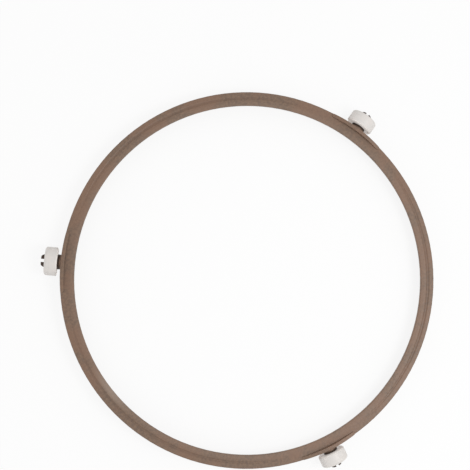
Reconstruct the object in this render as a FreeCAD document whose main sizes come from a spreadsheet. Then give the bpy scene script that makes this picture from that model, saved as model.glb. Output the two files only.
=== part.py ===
"""Microwave roller ring: a moulded plastic ring that carries the glass tray on three snap-on rollers.

Frame: +Z is up along the ring's axis, and the origin is the point of that axis on the oven floor that the
rollers stand on. The first roller lies on +X and the others follow anticlockwise. Millimetres.
"""
import FreeCAD, Part
import math
import os
import re

import Sketcher

DIMENSIONS = {
    # Ring: a flat band with a skirt that hangs from its outer edge
    "ring_outer_dia": 190.0,
    "band_width": 6.85,
    "band_thickness": 1.6,
    "band_slope_drop": 0.2,
    "band_top_rise": 2.25,
    "band_edge_round": 0.5,
    "skirt_thickness": 1.8,
    "skirt_edge_round": 0.4,
    # Shallow groove along the band, deepest halfway between two rollers
    "groove_inset": 3.1,
    "groove_width": 2.0,
    "groove_floor": 0.7,
    "groove_depth": 0.3,
    "groove_lug_gap": 4.0,
    # Lugs: walls with round ends and arched tops that stand on the ring's outer edge behind the rollers
    "lug_length": 30.0,
    "lug_thickness": 1.8,
    "lug_margin": 0.45,
    "lug_end_height": 0.3,
    "lug_edge_round": 0.25,
    # Boss and split snap pin of each lug
    "boss_dia": 7.3,
    "boss_length": 1.6,
    "pin_dia": 4.8,
    "barb_catch": 0.7,
    "barb_land": 0.4,
    "barb_length": 1.65,
    "barb_tip_dia": 4.8,
    "barb_tip_round": 0.6,
    "slot_width": 1.6,
    "slot_root_gap": 0.6,
    # Rollers
    "roller_count": 3,
    "roller_dia": 14.0,
    "roller_width": 6.0,
    "roller_far_round": 1.2,
    "roller_near_round": 0.6,
    "bore_chamfer": 0.3,
    "running_clearance": 0.05,
    "roller_end_play": 0.15,
}

# Heights above the oven floor
AXIS_HEIGHT = "(roller_dia / 2)"
BAND_TOP = f"({AXIS_HEIGHT} + band_top_rise)"
LUG_TOP = f"({AXIS_HEIGHT} + boss_dia / 2 + lug_margin)"
SKIRT_BOTTOM = f"({AXIS_HEIGHT} - boss_dia / 2 - lug_margin)"
LUG_BOTTOM = f"({SKIRT_BOTTOM} + skirt_edge_round)"

# Distances from the ring's axis
RING_RADIUS = "(ring_outer_dia / 2)"
BAND_INNER = f"({RING_RADIUS} - band_width)"
SKIRT_INNER = f"({RING_RADIUS} - skirt_thickness)"
LUG_INNER = f"({RING_RADIUS} - lug_thickness)"
LUG_MIDDLE = f"({RING_RADIUS} - lug_thickness / 2)"
GROOVE_RADIUS = f"({RING_RADIUS} - groove_inset)"
BOSS_END = f"({RING_RADIUS} + boss_length)"
ROLLER_NEAR = f"({BOSS_END} + roller_end_play)"
ROLLER_FAR = f"({ROLLER_NEAR} + roller_width)"
BARB_SHOULDER = f"({ROLLER_FAR} + roller_end_play)"
PIN_TIP = f"({BARB_SHOULDER} + barb_length)"

# Radii about a roller's axis
PIN_RADIUS = "(pin_dia / 2)"
BORE_RADIUS = f"({PIN_RADIUS} + running_clearance)"
BARB_RADIUS = f"({BORE_RADIUS} + barb_catch)"

# Angles about the ring's axis, in degrees, and the sideways reach of a lug's end centres
ROLLER_PITCH = "(360 / roller_count)"
LUG_ANGLE = f"((lug_length - lug_thickness) / {LUG_MIDDLE} * 180 / pi)"
LUG_END_Y = f"({LUG_MIDDLE} * sin({LUG_ANGLE} / 2 * 1 deg))"
GROOVE_ANGLE = f"({ROLLER_PITCH} - (lug_length + 2 * groove_lug_gap) / {LUG_MIDDLE} * 180 / pi)"

# The lug's top is an arc that runs through its middle and falls to its ends
ARCH_RISE = f"({LUG_TOP} - {BAND_TOP} - lug_end_height)"
ARCH_HALF = f"({LUG_END_Y} + lug_thickness / 2)"
ARCH_RADIUS = f"(({ARCH_HALF} * {ARCH_HALF} + {ARCH_RISE} * {ARCH_RISE}) / (2 * {ARCH_RISE}))"

# The groove is turned about a leaning axis, so that it rises out of the band before both lugs
GROOVE_BOTTOM = f"({BAND_TOP} - groove_depth)"
GROOVE_RISE = f"({GROOVE_RADIUS} * (1 - cos({GROOVE_ANGLE} / 2 * 1 deg)))"
GROOVE_LEAN = f"(asin(groove_depth / {GROOVE_RISE}) / 1 deg)"
GROOVE_SWEEP = f"({ROLLER_PITCH} - (lug_length + groove_lug_gap) / {LUG_MIDDLE} * 180 / pi)"

FULL_TURN = "360"

# Two lengths closer than this are the same
SAME_LENGTH = 0.001

doc = FreeCAD.newDocument("roller_ring")
sheet = doc.addObject("Spreadsheet::Sheet", "Dims")
for row, (alias, value) in enumerate(DIMENSIONS.items(), start=1):
    sheet.set(f"A{row}", alias)
    sheet.set(f"B{row}", str(value))
    sheet.setAlias(f"B{row}", alias)
doc.recompute()

ALIAS = re.compile(r"\b(" + "|".join(DIMENSIONS) + r")\b")


def formula(text):
    """The formula with every size named as a cell of the sheet."""
    return ALIAS.sub(r"Dims.\1", text)


def number(text):
    """The formula's value with the sizes that the sheet holds now."""
    return float(sheet.evalExpression(formula(text)))


def bind(item, path, text):
    """Tie a property to a formula."""
    item.setExpression(path, formula(text))


def origin_feature(body, role):
    """One of the body's own origin planes or axes."""
    return next(item for item in body.Origin.OriginFeatures if item.Role == role)


def new_sketch(body, name, plane="XZ_Plane"):
    """An empty sketch on one of the body's origin planes."""
    sketch = body.newObject("Sketcher::SketchObject", name)
    sketch.AttachmentSupport = [(origin_feature(body, plane), "")]
    sketch.MapMode = "FlatFace"
    return sketch


def dimension(sketch, kind, *where, text):
    """Add a driving dimension to a sketch and tie it to a formula, in degrees for an angle."""
    is_angle = kind == "Angle"
    value = math.radians(number(text)) if is_angle else number(text)
    index = sketch.addConstraint(Sketcher.Constraint(kind, *where, value))
    bind(sketch, f"Constraints[{index}]", f"{text} * 1 deg" if is_angle else text)


def relate(sketch, kind, *where):
    """Add a geometric constraint to a sketch."""
    sketch.addConstraint(Sketcher.Constraint(kind, *where))


def place(sketch, geometry, point, x, y):
    """Hold a point of a sketch at two formulas, measured from the sketch's origin."""
    dimension(sketch, "DistanceX", -1, 1, geometry, point, text=x)
    dimension(sketch, "DistanceY", -1, 1, geometry, point, text=y)


def round_corner(sketch, before, after, corner, radius):
    """Join two lines of a sketch by a tangent arc that rounds the corner where they would meet."""
    x, y = corner
    vertex = FreeCAD.Vector(number(x), number(y), 0)
    point = sketch.addGeometry(Part.Point(vertex), True)
    place(sketch, point, 1, x, y)
    relate(sketch, "PointOnObject", point, 1, before)
    relate(sketch, "PointOnObject", point, 1, after)
    start = sketch.Geometry[before].EndPoint
    end = sketch.Geometry[after].StartPoint
    inward = (start - vertex).normalize() + (end - vertex).normalize()
    depth = math.hypot(number(radius), (start - vertex).Length) - number(radius)
    arc = sketch.addGeometry(Part.Arc(start, vertex + inward.normalize() * depth, end), False)
    arc_start = sketch.Geometry[arc].StartPoint
    reverse = arc_start.distanceToPoint(end) < arc_start.distanceToPoint(start)
    near, far = (2, 1) if reverse else (1, 2)
    relate(sketch, "Tangent", before, 2, arc, near)
    relate(sketch, "Tangent", arc, far, after, 1)
    dimension(sketch, "Radius", arc, text=radius)


def outline(sketch, corners):
    """Draw a closed outline. Each corner is (x, y) or, where it is rounded, (x, y, radius)."""
    points = [FreeCAD.Vector(number(x), number(y), 0) for x, y, *_ in corners]
    count = len(corners)
    trims = []
    for index, (_, _, *radius) in enumerate(corners):
        to_last = points[index - 1] - points[index]
        to_next = points[(index + 1) % count] - points[index]
        half_angle = to_last.getAngle(to_next) / 2
        trims.append(number(radius[0]) / math.tan(half_angle) if radius else 0.0)
    first = sketch.GeometryCount
    for index, point in enumerate(points):
        after = (index + 1) % count
        along = (points[after] - point).normalize()
        line = Part.LineSegment(point + along * trims[index], points[after] - along * trims[after])
        sketch.addGeometry(line, False)
    for index, (x, y, *radius) in enumerate(corners):
        before = first + (index - 1) % count
        after = first + index
        if radius:
            round_corner(sketch, before, after, (x, y), radius[0])
        else:
            relate(sketch, "Coincident", before, 2, after, 1)
            place(sketch, after, 1, x, y)


def roller_axis(sketch):
    """Add the roller's axis to a sketch as its construction line, from the lug to the pin's tip."""
    start = FreeCAD.Vector(number(RING_RADIUS), number(AXIS_HEIGHT), 0)
    end = FreeCAD.Vector(number(PIN_TIP), number(AXIS_HEIGHT), 0)
    axis = sketch.addGeometry(Part.LineSegment(start, end), True)
    place(sketch, axis, 1, RING_RADIUS, AXIS_HEIGHT)
    place(sketch, axis, 2, PIN_TIP, AXIS_HEIGHT)


def turned(body, kind, name, sketch, axis, angle, symmetric=False):
    """Revolution or Groove of a sketch about one of its own lines, by a formula in degrees."""
    feature = body.newObject(f"PartDesign::{kind}", name)
    feature.Profile = sketch
    feature.ReferenceAxis = (sketch, [axis])
    feature.Midplane = symmetric
    bind(feature, "Angle", angle)
    doc.recompute()
    return feature


def check_cut(feature, before):
    """A cut has to take something away, or it points the wrong way."""
    if feature.Shape.Volume >= before.Shape.Volume:
        raise RuntimeError(f"{feature.Label} cuts nothing")


def make_band(body):
    """The ring all round: a band that falls a little towards its inner edge, and the skirt."""
    sketch = new_sketch(body, "band_section")
    outline(sketch, [
        (BAND_INNER, f"{BAND_TOP} - band_slope_drop - band_thickness"),
        (SKIRT_INNER, f"{BAND_TOP} - band_thickness"),
        (SKIRT_INNER, SKIRT_BOTTOM, "skirt_edge_round"),
        (RING_RADIUS, SKIRT_BOTTOM, "skirt_edge_round"),
        (RING_RADIUS, BAND_TOP, "band_edge_round"),
        (f"{GROOVE_RADIUS} - groove_width", BAND_TOP),
        (BAND_INNER, f"{BAND_TOP} - band_slope_drop", "band_edge_round"),
    ])
    return turned(body, "Revolution", "band", sketch, "V_Axis", FULL_TURN)


def make_lug(body):
    """A lug: in plan, two arcs about the ring's axis joined by half-round ends."""
    sketch = new_sketch(body, "lug_plan", "XY_Plane")
    bind(sketch, "AttachmentOffset.Base.z", LUG_BOTTOM)
    up = FreeCAD.Vector(0, 0, 1)
    half = math.radians(number(LUG_ANGLE)) / 2
    end_radius = number("lug_thickness / 2")

    def arc(centre, radius, start, end):
        return sketch.addGeometry(Part.ArcOfCircle(Part.Circle(centre, up, radius), start, end), False)

    def end_centre(angle):
        return FreeCAD.Vector(math.cos(angle), math.sin(angle), 0) * number(LUG_MIDDLE)

    outer = arc(FreeCAD.Vector(), number(RING_RADIUS), -half, half)
    inner = arc(FreeCAD.Vector(), number(LUG_INNER), -half, half)
    left = arc(end_centre(half), end_radius, half, half + math.pi)
    right = arc(end_centre(-half), end_radius, math.pi - half, 2 * math.pi - half)
    relate(sketch, "Coincident", outer, 3, -1, 1)
    relate(sketch, "Coincident", inner, 3, -1, 1)
    relate(sketch, "Tangent", outer, 2, left, 1)
    relate(sketch, "Tangent", left, 2, inner, 2)
    relate(sketch, "Tangent", inner, 1, right, 1)
    relate(sketch, "Tangent", right, 2, outer, 1)
    dimension(sketch, "Radius", outer, text=RING_RADIUS)
    dimension(sketch, "Radius", inner, text=LUG_INNER)
    dimension(sketch, "DistanceY", -1, 1, left, 3, text=LUG_END_Y)
    dimension(sketch, "DistanceY", right, 3, -1, 1, text=LUG_END_Y)
    lug = body.newObject("PartDesign::Pad", "lug")
    lug.Profile = sketch
    bind(lug, "Length", f"{LUG_TOP} - {LUG_BOTTOM}")
    doc.recompute()
    return lug


def make_arch(body):
    """Take the lug's top down to an arc that is highest behind the roller."""
    sketch = new_sketch(body, "arch_section", "YZ_Plane")
    half = number(ARCH_HALF)
    radius = number(ARCH_RADIUS)
    reach = math.asin(half / radius)
    low = number(f"{BAND_TOP} + lug_end_height")
    high = number(f"{LUG_TOP} + lug_thickness")
    circle = Part.Circle(FreeCAD.Vector(0, number(LUG_TOP) - radius, 0), FreeCAD.Vector(0, 0, 1), radius)
    arc = sketch.addGeometry(Part.ArcOfCircle(circle, math.pi / 2 - reach, math.pi / 2 + reach), False)
    corners = [(-half, low), (-half, high), (half, high), (half, low)]
    points = [FreeCAD.Vector(y, z, 0) for y, z in corners]
    left, over, right = [
        sketch.addGeometry(Part.LineSegment(start, end), False) for start, end in zip(points, points[1:])
    ]
    relate(sketch, "Coincident", arc, 2, left, 1)
    relate(sketch, "Coincident", left, 2, over, 1)
    relate(sketch, "Coincident", over, 2, right, 1)
    relate(sketch, "Coincident", right, 2, arc, 1)
    relate(sketch, "Vertical", left)
    relate(sketch, "Horizontal", over)
    place(sketch, left, 1, f"-{ARCH_HALF}", f"{BAND_TOP} + lug_end_height")
    place(sketch, right, 2, ARCH_HALF, f"{BAND_TOP} + lug_end_height")
    relate(sketch, "Vertical", right)
    dimension(sketch, "Radius", arc, text=ARCH_RADIUS)
    dimension(sketch, "DistanceY", -1, 1, over, 1, text=f"{LUG_TOP} + lug_thickness")
    arch = body.newObject("PartDesign::Pocket", "arch")
    arch.Profile = sketch
    arch.SideType = "Symmetric"
    bind(arch, "Length", f"2 * ({RING_RADIUS} + lug_thickness)")
    doc.recompute()
    return arch


def make_stub(body):
    """Boss, pin and barb, turned about the roller's axis."""
    sketch = new_sketch(body, "stub_section")
    roller_axis(sketch)
    outline(sketch, [
        (LUG_MIDDLE, AXIS_HEIGHT),
        (PIN_TIP, AXIS_HEIGHT),
        (PIN_TIP, f"{AXIS_HEIGHT} + barb_tip_dia / 2", "barb_tip_round"),
        (f"{BARB_SHOULDER} + barb_land", f"{AXIS_HEIGHT} + {BARB_RADIUS}"),
        (BARB_SHOULDER, f"{AXIS_HEIGHT} + {BARB_RADIUS}"),
        (BARB_SHOULDER, f"{AXIS_HEIGHT} + {PIN_RADIUS}"),
        (BOSS_END, f"{AXIS_HEIGHT} + {PIN_RADIUS}"),
        (BOSS_END, f"{AXIS_HEIGHT} + boss_dia / 2"),
        (LUG_MIDDLE, f"{AXIS_HEIGHT} + boss_dia / 2"),
    ])
    return turned(body, "Revolution", "stub", sketch, "Axis0", FULL_TURN)


def make_slot(body):
    """The upright slot that splits the pin into two prongs."""
    root = f"{ROLLER_NEAR} + slot_root_gap"
    mouth = f"{PIN_TIP} + slot_width"
    low = f"{AXIS_HEIGHT} - {BARB_RADIUS} - slot_width"
    high = f"{AXIS_HEIGHT} + {BARB_RADIUS} + slot_width"
    sketch = new_sketch(body, "slot_section")
    outline(sketch, [(root, low), (mouth, low), (mouth, high), (root, high)])
    slot = body.newObject("PartDesign::Pocket", "slot")
    slot.Profile = sketch
    slot.SideType = "Symmetric"
    bind(slot, "Length", "slot_width")
    doc.recompute()
    return slot


def make_groove(body):
    """One stretch of groove in the band's top, centred halfway between two rollers."""
    sketch = new_sketch(body, "groove_section")
    sketch.AttachmentOffset = FreeCAD.Placement(
        FreeCAD.Vector(), FreeCAD.Rotation(FreeCAD.Vector(0, 1, 0), number(f"{ROLLER_PITCH} / 2"))
    )
    bind(sketch, "AttachmentOffset.Rotation.Angle", f"{ROLLER_PITCH} / 2")
    lean = math.radians(number(GROOVE_LEAN))
    foot = FreeCAD.Vector(0, number(GROOVE_BOTTOM), 0)
    head = foot + FreeCAD.Vector(math.sin(lean), math.cos(lean), 0) * number(GROOVE_RADIUS)
    axis = sketch.addGeometry(Part.LineSegment(foot, head), True)
    relate(sketch, "PointOnObject", axis, 1, -2)
    dimension(sketch, "DistanceY", -1, 1, axis, 1, text=GROOVE_BOTTOM)
    dimension(sketch, "Distance", axis, text=GROOVE_RADIUS)
    dimension(sketch, "Angle", axis, text=f"(90 - {GROOVE_LEAN})")
    mouth = "(groove_width - groove_floor / 2)"
    outline(sketch, [
        (f"{GROOVE_RADIUS} - groove_floor / 2", GROOVE_BOTTOM),
        (f"{GROOVE_RADIUS} + groove_floor / 2", GROOVE_BOTTOM),
        (f"{GROOVE_RADIUS} + {mouth}", f"{BAND_TOP} + groove_depth"),
        (f"{GROOVE_RADIUS} - {mouth}", f"{BAND_TOP} + groove_depth"),
    ])
    return turned(body, "Groove", "groove", sketch, "Axis0", GROOVE_SWEEP, symmetric=True)


def is_arch(face):
    """Whether a face is a lug's arched top."""
    surface = face.Surface
    return isinstance(surface, Part.Cylinder) and abs(surface.Radius - number(ARCH_RADIUS)) < SAME_LENGTH


def round_lug_tops(body, base):
    """Round the edge that runs round the top of every lug."""
    rims = [edge for face in base.Shape.Faces if is_arch(face) for edge in face.Edges]
    edges = [
        f"Edge{index}"
        for index, edge in enumerate(base.Shape.Edges, start=1)
        if any(edge.isSame(rim) for rim in rims)
    ]
    rounds = body.newObject("PartDesign::Fillet", "lug_top_rounds")
    rounds.Base = (base, edges)
    bind(rounds, "Radius", "lug_edge_round")
    doc.recompute()
    return rounds


def make_ring():
    body = doc.addObject("PartDesign::Body", "ring")
    make_band(body)
    lug = make_lug(body)
    arch = make_arch(body)
    check_cut(arch, lug)
    stub = make_stub(body)
    slot = make_slot(body)
    check_cut(slot, stub)
    groove = make_groove(body)
    check_cut(groove, slot)
    pattern = body.newObject("PartDesign::PolarPattern", "around_the_ring")
    pattern.Originals = [lug, arch, stub, slot, groove]
    pattern.Axis = (origin_feature(body, "Z_Axis"), [""])
    bind(pattern, "Angle", FULL_TURN)
    bind(pattern, "Occurrences", "roller_count")
    body.Tip = pattern
    doc.recompute()
    body.Tip = round_lug_tops(body, pattern)
    return body


def make_roller(index):
    body = doc.addObject("PartDesign::Body", f"roller_{index + 1}")
    sketch = new_sketch(body, f"roller_{index + 1}_section")
    roller_axis(sketch)
    outline(sketch, [
        (ROLLER_NEAR, f"{AXIS_HEIGHT} + {BORE_RADIUS} + bore_chamfer"),
        (f"{ROLLER_NEAR} + bore_chamfer", f"{AXIS_HEIGHT} + {BORE_RADIUS}"),
        (f"{ROLLER_FAR} - bore_chamfer", f"{AXIS_HEIGHT} + {BORE_RADIUS}"),
        (ROLLER_FAR, f"{AXIS_HEIGHT} + {BORE_RADIUS} + bore_chamfer"),
        (ROLLER_FAR, f"{AXIS_HEIGHT} + roller_dia / 2", "roller_far_round"),
        (ROLLER_NEAR, f"{AXIS_HEIGHT} + roller_dia / 2", "roller_near_round"),
    ])
    turned(body, "Revolution", f"roller_{index + 1}_turned", sketch, "Axis0", FULL_TURN)
    body.Placement.Rotation.Axis = FreeCAD.Vector(0, 0, 1)
    bind(body, "Placement.Rotation.Angle", f"{ROLLER_PITCH} * {index}")
    return body


bodies = [make_ring()]
bodies += [make_roller(index) for index in range(DIMENSIONS["roller_count"])]
doc.recompute()

for item in doc.Objects:
    if "Invalid" in item.State or "Error" in item.State:
        raise RuntimeError(f"{item.Label} failed: {item.State}")
for body in bodies:
    if body.Shape.isNull() or not body.Shape.isValid() or len(body.Shape.Solids) != 1:
        raise RuntimeError(f"{body.Label} is not one valid solid")

os.makedirs("parts", exist_ok=True)
for body in bodies:
    body.Shape.exportStep(f"parts/{body.Label}.step")
    box = body.Shape.BoundBox
    print(f"{body.Label}: {body.Shape.Volume:.1f} mm3, x {box.XMin:.2f} to {box.XMax:.2f}, "
          f"y {box.YMin:.2f} to {box.YMax:.2f}, z {box.ZMin:.2f} to {box.ZMax:.2f}")
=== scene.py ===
"""Looks of the microwave roller ring: moulded taupe ring, off-white rollers, white studio floor.

Metres, in the part's own frame: +Z up along the ring's axis, the oven floor at z = 0, first roller on +X.
"""
import math

import bpy
from mathutils import Matrix, Vector

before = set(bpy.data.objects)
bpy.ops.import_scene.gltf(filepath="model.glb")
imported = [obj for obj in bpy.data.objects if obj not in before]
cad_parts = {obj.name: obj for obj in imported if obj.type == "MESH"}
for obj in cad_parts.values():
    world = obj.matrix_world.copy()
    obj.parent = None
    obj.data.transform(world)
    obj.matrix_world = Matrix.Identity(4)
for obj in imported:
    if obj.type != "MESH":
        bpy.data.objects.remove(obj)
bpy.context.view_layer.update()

MM = 0.001

# Camera, from a fit to the ring's two edges and the three rollers
IMAGE_SIDE = 470
FOCAL_PIXELS = 975.4
SHIFT_PIXELS = (-40.0, 20.0)
EYE = Vector((-38.88, 52.33, 497.0)) * MM
AIM = Vector((17.04, -2.56, 7.0)) * MM
UP_ANGLE = 35.13
SENSOR = 36.0

# Light: an even dome, a soft lamp high on the right, whose sheen makes the right of the ring the
# brighter, and a wide low lamp on the left that fills the sides of the rollers
DOME_STRENGTH = 0.7
BACKDROP_STRENGTH = 1.0
KEY_AZIMUTH = -72.0
KEY_ELEVATION = 63.0
KEY_DISTANCE = 0.5
KEY_SIDE = 0.2
KEY_POWER = 0.7
FILL_AZIMUTH = 126.0
FILL_ELEVATION = 15.0
FILL_DISTANCE = 0.8
FILL_SIDE = 0.5
FILL_POWER = 0.5

# Floor: how much of what the camera sees of it is plain white and not shaded by the light
FLOOR_SIDE = 12.0
FLOOR_COLOUR = 0.96
FLOOR_EVENNESS = 0.85

# Ring plastic, as sRGB bytes
TAUPE = (127, 102, 83)
TAUPE_DARK = (108, 87, 72)
TAUPE_WARM = (132, 100, 80)
# Paler taupe for rubbed wear and for painted sheen on edges
TAUPE_WORN_AND_SHEEN = (154, 134, 119)
# Painted shade for corners and creases
CREASE_PAINTED_SHADE = (78, 63, 53)
# Painted shade for the deepest part of the groove
GROOVE_PAINTED_SHADE = (86, 62, 47)
# Painted shade on the pins and, darkest, on the bosses next to the rollers
PIN_PAINTED_SHADE = (56, 44, 37)
BOSS_PAINTED_SHADE = (34, 24, 18)

# Ring plastic: noise scales per metre, how fine the mottle is, and the spans of noise that carry a change
MOTTLE_SCALE = 750
MOTTLE_FINENESS = 0.65
DRIFT_SCALE = 70
GRAIN_SCALE = 1500
PIT_SCALE = 6000
MOTTLE_SPAN = (0.36, 0.64)
DRIFT_SPAN = (0.42, 0.62)
RUB_AND_SHEEN_SPAN = (0.35, 0.7)
WIDE_SPAN = (0.3, 0.7)

# Ring plastic: how strongly drift, the rubbed wear and painted sheen on edges, the painted shade in creases
# and the painted shade on bosses and pins show, how rough and glossy it is, and its relief
DRIFT_SHARE = (0.0, 0.6)
RUB_AND_SHEEN_SHARE = (0.1, 0.4)
CREASE_SHADE_SHARE = (0.25, 0.5)
BOSS_SHADE_SHARE = (0.75, 0.95)
RING_ROUGHNESS = (0.40, 0.54)
SHEEN_TO_SHADED = (0.5, 0.15)
RING_BUMP = 0.25
RING_RELIEF = 0.05 * MM

# Paler edges (rubbed wear and painted sheen) and painted shade in corners: how far each is felt for, and
# the spans between none and all
EDGE_RADIUS = 0.4 * MM
EDGE_SAMPLES = 6
EDGE_LIKENESS = (0.97, 0.80)
CREASE_REACH = 1.5 * MM
CREASE_SAMPLES = 8
CREASE_OPENNESS = (0.85, 0.35)

# Painted shade on the bosses and pins: everything that stands out past the ring's outer wall, darkest next
# to the rollers
BOSS_SHADE_START = 95.2 * MM
BOSS_SHADE_FULL = 95.9 * MM
BOSS_SHADE_PIN = 98.0 * MM

# Painted sheen along the inner edge, and a stretch of it that is paler still
PALE_ANGLE = 163.0
PALE_RADIUS = 89.6 * MM
PALE_REACH = 18.0 * MM
PALE_OUTER = 92.2 * MM
PALE_EDGE_SHARE = 0.06
PALE_SHARE = 0.7

# The groove, with painted shade where it is deepest
BAND_TOP = 9.25 * MM
GROOVE_DEEP = 8.97 * MM
GROOVE_INNER = (89.9 * MM, 90.7 * MM)
GROOVE_SHADE_SHARE = 0.22

# Roller plastic, as sRGB bytes
OFF_WHITE = (228, 222, 217)
OFF_WHITE_COOL = (224, 220, 216)
ROLLER_MARK = (203, 197, 190)

# Roller plastic: noise scales per metre, tracks drawn out round the rim, spans, shares and relief
TRACK_SCALE = 1400
TRACK_DRAWN_OUT = 0.03
ROLLER_MOTTLE_SCALE = 330
ROLLER_GRAIN_SCALE = 1200
ROLLER_MOTTLE_SPAN = (0.35, 0.65)
MARK_SPAN = (0.55, 0.72)
MARK_PATCH_SPAN = (0.4, 0.65)
MARK_SHARE = (0.05, 0.4)
TRACK_SPAN = (0.35, 0.7)
ROLLER_ROUGHNESS = (0.36, 0.52)
ROLLER_BUMP = 0.12
ROLLER_RELIEF = 0.03 * MM

# The rollers' inner ends, brightened by a painted glow: emission that stands in for light soaking through
# the plastic
INNER_END = 96.75 * MM
INNER_END_DEPTH = 0.35 * MM
INNER_END_PAINTED_GLOW = 0.3


def linear(red, green, blue):
    """A colour given as sRGB bytes, as the linear value that shaders take."""
    def channel(byte):
        share = byte / 255
        return share / 12.92 if share <= 0.04045 else ((share + 0.055) / 1.055) ** 2.4
    return channel(red), channel(green), channel(blue), 1.0


class Tree:
    """A material's node tree, with short calls for making and joining nodes."""

    def __init__(self, name):
        self.material = bpy.data.materials.new(name)
        self.material.use_nodes = True
        self.nodes = self.material.node_tree.nodes
        self.links = self.material.node_tree.links
        self.shader = self.nodes["Principled BSDF"]

    def add(self, kind, inputs=None, **settings):
        node = self.nodes.new(kind)
        for key, value in settings.items():
            setattr(node, key, value)
        for key, value in (inputs or {}).items():
            if isinstance(value, bpy.types.NodeSocket):
                self.links.new(value, node.inputs[key])
            else:
                node.inputs[key].default_value = value
        return node

    def vector_maths(self, operation, output, *operands):
        node = self.add("ShaderNodeVectorMath", dict(enumerate(operands)), operation=operation)
        return node.outputs[output]

    def feed(self, value, socket):
        self.links.new(value, self.shader.inputs[socket])

    def emboss(self, relief, strength, depth):
        bump = self.add("ShaderNodeBump", {"Strength": strength, "Distance": depth, "Height": relief})
        self.feed(bump.outputs["Normal"], "Normal")


def noise(tree, where, scale, detail=3.0, roughness=0.55):
    node = tree.add("ShaderNodeTexNoise", {
        "Vector": where, "Scale": scale, "Detail": detail, "Roughness": roughness,
    })
    return node.outputs["Fac"]


def spread(tree, value, span, share=(0.0, 1.0)):
    """Stretch a value from one span to another, with soft ends, and hold it there."""
    node = tree.add("ShaderNodeMapRange", {
        "Value": value, "From Min": span[0], "From Max": span[1], "To Min": share[0], "To Max": share[1],
    }, interpolation_type="SMOOTHSTEP")
    return node.outputs["Result"]


def maths(tree, operation, first, second):
    return tree.add("ShaderNodeMath", {0: first, 1: second}, operation=operation).outputs[0]


def blend(tree, share, first, second):
    """Mix two colours by a share. Each colour is a socket or sRGB bytes."""
    node = tree.add("ShaderNodeMix", {"Factor": share}, data_type="RGBA")
    first_colour, second_colour = (s for s in node.inputs if s.type == "RGBA")
    for socket, value in ((first_colour, first), (second_colour, second)):
        if isinstance(value, bpy.types.NodeSocket):
            tree.links.new(value, socket)
        else:
            socket.default_value = linear(*value)
    return next(s for s in node.outputs if s.type == "RGBA")


def rub_and_sheen_edges(tree):
    """1 on the part's outer edges and 0 on its flat faces."""
    rounded = tree.add("ShaderNodeBevel", {"Radius": EDGE_RADIUS}, samples=EDGE_SAMPLES).outputs["Normal"]
    true_normal = tree.add("ShaderNodeNewGeometry").outputs["True Normal"]
    likeness = tree.vector_maths("DOT_PRODUCT", "Value", rounded, true_normal)
    return spread(tree, likeness, EDGE_LIKENESS)


def creases(tree):
    """1 deep in a corner and 0 on an open face."""
    corners = tree.add("ShaderNodeAmbientOcclusion", {"Distance": CREASE_REACH}, samples=CREASE_SAMPLES)
    return spread(tree, corners.outputs["AO"], CREASE_OPENNESS)


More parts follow.
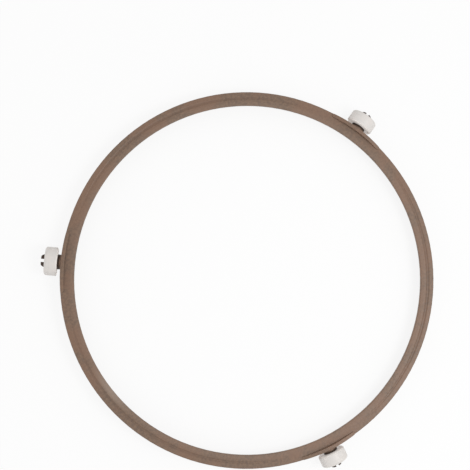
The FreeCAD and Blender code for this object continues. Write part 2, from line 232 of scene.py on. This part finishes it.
def ring_plastic():
    """Moulded taupe plastic, softly mottled, with paler edges (rubbed wear and painted sheen), painted
    sheen on the inner edge, painted shade in the creases and the groove, and painted shade on the bosses
    and pins.
    """
    tree = Tree("ring_plastic_look")
    place = tree.add("ShaderNodeTexCoord").outputs["Object"]
    height = tree.add("ShaderNodeSeparateXYZ", {"Vector": place}).outputs["Z"]
    flat = tree.vector_maths("MULTIPLY", "Vector", place, (1, 1, 0))
    radius = tree.vector_maths("LENGTH", "Value", flat)
    mottle = noise(tree, place, MOTTLE_SCALE, detail=4, roughness=MOTTLE_FINENESS)
    drift = noise(tree, place, DRIFT_SCALE, detail=2)
    grain = noise(tree, place, GRAIN_SCALE)
    pits = noise(tree, place, PIT_SCALE, detail=2)

    colour = blend(tree, spread(tree, mottle, MOTTLE_SPAN), TAUPE_DARK, TAUPE)
    colour = blend(tree, spread(tree, drift, DRIFT_SPAN, DRIFT_SHARE), colour, TAUPE_WARM)

    # Painted sheen: the inner edge is paler all round, and paler still over one stretch
    pale_middle = direction(PALE_ANGLE, 0) * PALE_RADIUS
    away = tree.vector_maths("DISTANCE", "Value", flat, pale_middle)
    pale_stretch = spread(tree, away, (PALE_REACH, 0.0), (PALE_EDGE_SHARE, PALE_SHARE))
    inner_edge = spread(tree, radius, (PALE_OUTER, PALE_RADIUS))
    colour = blend(tree, maths(tree, "MULTIPLY", pale_stretch, inner_edge), colour, TAUPE_WORN_AND_SHEEN)

    # Paler on the edges: rubbed wear, and painted sheen on the rounded edges
    rub_and_sheen = maths(tree, "MULTIPLY", rub_and_sheen_edges(tree), spread(tree, grain, RUB_AND_SHEEN_SPAN, RUB_AND_SHEEN_SHARE))
    colour = blend(tree, rub_and_sheen, colour, TAUPE_WORN_AND_SHEEN)

    # Painted shade: darker deep in corners and creases, found by ambient occlusion
    crease_shade = maths(tree, "MULTIPLY", creases(tree), spread(tree, mottle, WIDE_SPAN, CREASE_SHADE_SHARE))
    colour = blend(tree, crease_shade, colour, CREASE_PAINTED_SHADE)

    # Painted shade: darker where the groove is deepest
    deep = spread(tree, height, (BAND_TOP, GROOVE_DEEP), (0.0, GROOVE_SHADE_SHARE))
    groove_shade = maths(tree, "MULTIPLY", deep, spread(tree, radius, GROOVE_INNER))
    colour = blend(tree, groove_shade, colour, GROOVE_PAINTED_SHADE)

    # Painted shade: the bosses and pins past the outer wall turn dark brown, darkest beside the rollers
    standing_out = spread(tree, radius, (BOSS_SHADE_START, BOSS_SHADE_FULL))
    boss_shade = maths(tree, "MULTIPLY", standing_out, spread(tree, grain, WIDE_SPAN, BOSS_SHADE_SHARE))
    boss_shade_colour = blend(tree, spread(tree, radius, (BOSS_SHADE_FULL, BOSS_SHADE_PIN)), BOSS_PAINTED_SHADE, PIN_PAINTED_SHADE)
    colour = blend(tree, boss_shade, colour, boss_shade_colour)

    tree.feed(colour, "Base Color")
    tree.feed(spread(tree, grain, WIDE_SPAN, RING_ROUGHNESS), "Roughness")
    tree.feed(spread(tree, radius, (BOSS_SHADE_START, BOSS_SHADE_FULL), SHEEN_TO_SHADED), "Specular IOR Level")
    tree.emboss(maths(tree, "ADD", grain, pits), RING_BUMP, RING_RELIEF)
    return tree.material


def roller_plastic(name, turn):
    """Off-white slippery plastic with faint marks round the rim where it rolls, and a painted glow on its
    inner end.
    """
    tree = Tree(name)
    place = tree.add("ShaderNodeTexCoord").outputs["Object"]
    along = tree.add("ShaderNodeMapping", {"Vector": place, "Rotation": (0, 0, -turn)}).outputs["Vector"]
    depth = tree.add("ShaderNodeSeparateXYZ", {"Vector": along}).outputs["X"]
    drawn_out = tree.vector_maths("MULTIPLY", "Vector", along, (1, TRACK_DRAWN_OUT, TRACK_DRAWN_OUT))
    tracks = noise(tree, drawn_out, TRACK_SCALE, detail=2)
    mottle = noise(tree, place, ROLLER_MOTTLE_SCALE)
    grain = noise(tree, place, ROLLER_GRAIN_SCALE)

    colour = blend(tree, spread(tree, mottle, ROLLER_MOTTLE_SPAN), OFF_WHITE, OFF_WHITE_COOL)
    patches = spread(tree, mottle, MARK_PATCH_SPAN, MARK_SHARE)
    marks = maths(tree, "MULTIPLY", spread(tree, tracks, MARK_SPAN), patches)
    colour = blend(tree, marks, colour, ROLLER_MARK)

    tree.feed(colour, "Base Color")
    tree.feed(spread(tree, tracks, TRACK_SPAN, ROLLER_ROUGHNESS), "Roughness")
    # Painted light: the inner end glows off-white, brightest at the end face
    tree.shader.inputs["Emission Color"].default_value = linear(*OFF_WHITE)
    painted_glow = spread(tree, depth, (INNER_END + INNER_END_DEPTH, INNER_END), (0.0, INNER_END_PAINTED_GLOW))
    tree.feed(painted_glow, "Emission Strength")
    tree.emboss(maths(tree, "ADD", tracks, grain), ROLLER_BUMP, ROLLER_RELIEF)
    return tree.material


def dress(node, material):
    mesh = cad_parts[node].data
    mesh.materials.clear()
    mesh.materials.append(material)


def seen_directly(nodes, links):
    """1 for what the camera sees, straight, mirrored or through glass, and 0 for the light that lands."""
    path = nodes.new("ShaderNodeLightPath")
    seen = path.outputs["Is Camera Ray"]
    for ray in ("Is Glossy Ray", "Is Transmission Ray"):
        either = nodes.new("ShaderNodeMath")
        either.operation = "MAXIMUM"
        links.new(seen, either.inputs[0])
        links.new(path.outputs[ray], either.inputs[1])
        seen = either.outputs[0]
    return seen


def make_floor():
    """A white floor that shows the object's shadow faintly."""
    half = FLOOR_SIDE / 2
    corners = [(-half, -half, 0), (half, -half, 0), (half, half, 0), (-half, half, 0)]
    mesh = bpy.data.meshes.new("floor")
    mesh.from_pydata(corners, [], [(0, 1, 2, 3)])
    floor = bpy.data.objects.new("floor", mesh)
    bpy.context.scene.collection.objects.link(floor)
    material = bpy.data.materials.new("floor_white")
    material.use_nodes = True
    nodes = material.node_tree.nodes
    links = material.node_tree.links
    nodes.clear()
    matte = nodes.new("ShaderNodeBsdfDiffuse")
    matte.inputs["Color"].default_value = (FLOOR_COLOUR, FLOOR_COLOUR, FLOOR_COLOUR, 1)
    even = nodes.new("ShaderNodeEmission")
    share = nodes.new("ShaderNodeMath")
    share.operation = "MULTIPLY"
    links.new(seen_directly(nodes, links), share.inputs[0])
    share.inputs[1].default_value = FLOOR_EVENNESS
    mix = nodes.new("ShaderNodeMixShader")
    links.new(share.outputs[0], mix.inputs[0])
    links.new(matte.outputs[0], mix.inputs[1])
    links.new(even.outputs[0], mix.inputs[2])
    output = nodes.new("ShaderNodeOutputMaterial")
    links.new(mix.outputs[0], output.inputs["Surface"])
    mesh.materials.append(material)


def make_world():
    """An even dome that looks plain white to the camera."""
    world = bpy.data.worlds.new("studio")
    bpy.context.scene.world = world
    world.use_nodes = True
    nodes = world.node_tree.nodes
    links = world.node_tree.links
    background = nodes["Background"]
    background.inputs["Color"].default_value = (1, 1, 1, 1)
    strength = nodes.new("ShaderNodeMapRange")
    links.new(seen_directly(nodes, links), strength.inputs["Value"])
    strength.inputs["To Min"].default_value = DOME_STRENGTH
    strength.inputs["To Max"].default_value = BACKDROP_STRENGTH
    links.new(strength.outputs["Result"], background.inputs["Strength"])


def direction(azimuth, elevation):
    """The unit vector at two angles in degrees."""
    a = math.radians(azimuth)
    e = math.radians(elevation)
    return Vector((math.cos(a) * math.cos(e), math.sin(a) * math.cos(e), math.sin(e)))


def make_lamp(name, toward, distance, side, power):
    """A square soft lamp that faces the middle of the ring and that the camera doesn't see."""
    data = bpy.data.lights.new(name, "AREA")
    data.shape = "SQUARE"
    data.size = side
    data.energy = power
    lamp = bpy.data.objects.new(name, data)
    lamp.location = toward * distance
    lamp.rotation_euler = (-toward).to_track_quat("-Z", "Y").to_euler()
    lamp.visible_camera = False
    bpy.context.scene.collection.objects.link(lamp)


def make_camera():
    """The photo's camera: nearly overhead, turned so that the first roller is at the upper right."""
    data = bpy.data.cameras.new("camera")
    data.sensor_width = SENSOR
    data.lens = SENSOR * FOCAL_PIXELS / IMAGE_SIDE
    data.shift_x = SHIFT_PIXELS[0] / IMAGE_SIDE
    data.shift_y = SHIFT_PIXELS[1] / IMAGE_SIDE
    camera = bpy.data.objects.new("camera", data)
    back = (EYE - AIM).normalized()
    right = direction(UP_ANGLE, 0).cross(back).normalized()
    up = back.cross(right)
    turn = Matrix((right, up, back)).transposed().to_4x4()
    camera.matrix_world = Matrix.Translation(EYE) @ turn
    bpy.context.scene.collection.objects.link(camera)
    bpy.context.scene.camera = camera


dress("ring", ring_plastic())
ROLLERS = sorted(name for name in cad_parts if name.startswith("roller"))
for index, name in enumerate(ROLLERS):
    dress(name, roller_plastic(f"{name}_look", 2 * math.pi * index / len(ROLLERS)))
make_floor()
make_world()
make_lamp("key", direction(KEY_AZIMUTH, KEY_ELEVATION), KEY_DISTANCE, KEY_SIDE, KEY_POWER)
make_lamp("fill", direction(FILL_AZIMUTH, FILL_ELEVATION), FILL_DISTANCE, FILL_SIDE, FILL_POWER)
make_camera()
bpy.context.scene.view_settings.view_transform = "Standard"
